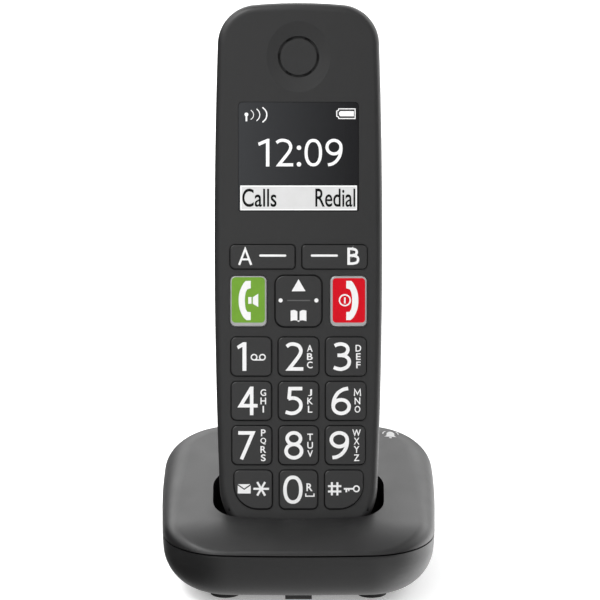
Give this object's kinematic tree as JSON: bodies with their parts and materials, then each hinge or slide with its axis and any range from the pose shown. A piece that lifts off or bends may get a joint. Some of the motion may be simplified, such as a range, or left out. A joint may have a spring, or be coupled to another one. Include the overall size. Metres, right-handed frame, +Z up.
{
  "type": "cordless telephone with charging base",
  "caption": "Candybar cordless telephone handset leaning in a rounded-square charging base, with display, rocker key, keypad, battery door and rear sockets.",
  "frame": {"origin": "centre of the footprint box, on the surface that the base stands on", "axes": "+Z up, +X to the right as the user sees the keypad, -Y towards the user"},
  "size_m": [0.0824, 0.0834, 0.1702],
  "materials": {
    "handset_casing": "fine-textured moulded ABS, satin black",
    "key_black": "satin moulded key caps with pale printed legends",
    "key_green": "satin green moulded key",
    "key_red": "satin red moulded key",
    "display_pane": "clear hard-coated acrylic over a dark display",
    "base_casing": "smooth satin black ABS",
    "circuit_board": "green solder mask",
    "silicone": "translucent grey silicone",
    "spring_steel": "plated spring steel",
    "contact_metal": "gold-flashed contact metal",
    "screw_steel": "zinc-plated steel",
    "foot_rubber": "soft black rubber",
    "battery_sleeve": "shrink sleeve",
    "inner_plastic": "dark moulded plastic"
  },
  "bodies": {
    "base": {"base_top_cover": "base_casing", "base_bottom_cover": "base_casing", "base_board": "circuit_board", "power_socket": "inner_plastic", "line_socket": "inner_plastic", "socket_contacts": "contact_metal", "paging_switch": "inner_plastic", "base_feet": "foot_rubber", "base_screws": "screw_steel"},
    "handset": {"handset_front_cover": "handset_casing", "handset_back_cover": "handset_casing", "display_window": "display_pane", "display_module": "inner_plastic", "earpiece_disc": "handset_casing", "receiver": "spring_steel", "receiver_gasket": "silicone", "keypad_mat": "silicone", "dome_contacts": "spring_steel", "handset_board": "circuit_board", "radio_shield": "spring_steel", "microphone": "inner_plastic", "loudspeaker": "inner_plastic", "handset_charge_contacts": "contact_metal", "handset_screws": "screw_steel", "battery_left": "battery_sleeve", "battery_right": "battery_sleeve", "battery_springs": "spring_steel", "battery_contact_plates": "spring_steel"},
    "key_1": {"key_1": "key_black"},
    "key_2": {"key_2": "key_black"},
    "key_3": {"key_3": "key_black"},
    "key_4": {"key_4": "key_black"},
    "key_5": {"key_5": "key_black"},
    "key_6": {"key_6": "key_black"},
    "key_7": {"key_7": "key_black"},
    "key_8": {"key_8": "key_black"},
    "key_9": {"key_9": "key_black"},
    "key_star": {"key_star": "key_black"},
    "key_0": {"key_0": "key_black"},
    "key_hash": {"key_hash": "key_black"},
    "key_memory_a": {"key_memory_a": "key_black"},
    "key_memory_b": {"key_memory_b": "key_black"},
    "key_talk": {"key_talk": "key_green"},
    "key_end": {"key_end": "key_red"},
    "navigation_plate": {"navigation_pivot": "key_black"},
    "navigation_key": {"key_navigation": "key_black"},
    "battery_door": {"battery_door": "handset_casing"},
    "paging_button": {"paging_button": "base_casing"},
    "charge_spring_left": {"charge_spring_left": "contact_metal"},
    "charge_spring_right": {"charge_spring_right": "contact_metal"}
  },
  "joints": [
    {"name": "handset_lift", "type": "slide", "parent": "base", "child": "handset", "axis": [0, 0.309, 0.9511], "range_m": [0, 0.09]},
    {"name": "press_1", "type": "slide", "parent": "handset", "child": "key_1", "axis": [0, 0.9511, -0.309], "range_m": [0, 0.0006], "stiffness_N_per_m": 250},
    {"name": "press_2", "type": "slide", "parent": "handset", "child": "key_2", "axis": [0, 0.9511, -0.309], "range_m": [0, 0.0006], "stiffness_N_per_m": 250},
    {"name": "press_3", "type": "slide", "parent": "handset", "child": "key_3", "axis": [0, 0.9511, -0.309], "range_m": [0, 0.0006], "stiffness_N_per_m": 250},
    {"name": "press_4", "type": "slide", "parent": "handset", "child": "key_4", "axis": [0, 0.9511, -0.309], "range_m": [0, 0.0006], "stiffness_N_per_m": 250},
    {"name": "press_5", "type": "slide", "parent": "handset", "child": "key_5", "axis": [0, 0.9511, -0.309], "range_m": [0, 0.0006], "stiffness_N_per_m": 250},
    {"name": "press_6", "type": "slide", "parent": "handset", "child": "key_6", "axis": [0, 0.9511, -0.309], "range_m": [0, 0.0006], "stiffness_N_per_m": 250},
    {"name": "press_7", "type": "slide", "parent": "handset", "child": "key_7", "axis": [0, 0.9511, -0.309], "range_m": [0, 0.0006], "stiffness_N_per_m": 250},
    {"name": "press_8", "type": "slide", "parent": "handset", "child": "key_8", "axis": [0, 0.9511, -0.309], "range_m": [0, 0.0006], "stiffness_N_per_m": 250},
    {"name": "press_9", "type": "slide", "parent": "handset", "child": "key_9", "axis": [0, 0.9511, -0.309], "range_m": [0, 0.0006], "stiffness_N_per_m": 250},
    {"name": "press_star", "type": "slide", "parent": "handset", "child": "key_star", "axis": [0, 0.9511, -0.309], "range_m": [0, 0.0006], "stiffness_N_per_m": 250},
    {"name": "press_0", "type": "slide", "parent": "handset", "child": "key_0", "axis": [0, 0.9511, -0.309], "range_m": [0, 0.0006], "stiffness_N_per_m": 250},
    {"name": "press_hash", "type": "slide", "parent": "handset", "child": "key_hash", "axis": [0, 0.9511, -0.309], "range_m": [0, 0.0006], "stiffness_N_per_m": 250},
    {"name": "press_memory_a", "type": "slide", "parent": "handset", "child": "key_memory_a", "axis": [0, 0.9511, -0.309], "range_m": [0, 0.0006], "stiffness_N_per_m": 250},
    {"name": "press_memory_b", "type": "slide", "parent": "handset", "child": "key_memory_b", "axis": [0, 0.9511, -0.309], "range_m": [0, 0.0006], "stiffness_N_per_m": 250},
    {"name": "press_talk", "type": "slide", "parent": "handset", "child": "key_talk", "axis": [0, 0.9511, -0.309], "range_m": [0, 0.0006], "stiffness_N_per_m": 250},
    {"name": "press_end", "type": "slide", "parent": "handset", "child": "key_end", "axis": [0, 0.9511, -0.309], "range_m": [0, 0.0006], "stiffness_N_per_m": 250},
    {"name": "rock_up_down", "type": "hinge", "parent": "handset", "child": "navigation_plate", "pos_m": [0, 0.00088, 0.08428], "axis": [1, 0, 0], "range_deg": [-2.5, 2.5], "stiffness_Nm_per_rad": 0.05},
    {"name": "rock_left_right", "type": "hinge", "parent": "navigation_plate", "child": "navigation_key", "pos_m": [0, 0.00088, 0.08428], "axis": [0, 0.309, 0.9511], "range_deg": [-2.5, 2.5], "stiffness_Nm_per_rad": 0.05},
    {"name": "door_swing", "type": "hinge", "parent": "handset", "child": "battery_door", "pos_m": [0, 0.03259, 0.11456], "axis": [1, 0, 0], "range_deg": [0, 60]},
    {"name": "press_paging", "type": "slide", "parent": "base", "child": "paging_button", "axis": [0, -1, 0], "range_m": [0, 0.0008], "stiffness_N_per_m": 250},
    {"name": "contact_left", "type": "slide", "parent": "base", "child": "charge_spring_left", "axis": [0, 0.309, 0.9511], "range_m": [-0.001, 0], "stiffness_N_per_m": 200},
    {"name": "contact_right", "type": "slide", "parent": "base", "child": "charge_spring_right", "axis": [0, 0.309, 0.9511], "range_m": [-0.001, 0], "stiffness_N_per_m": 200}
  ]
}
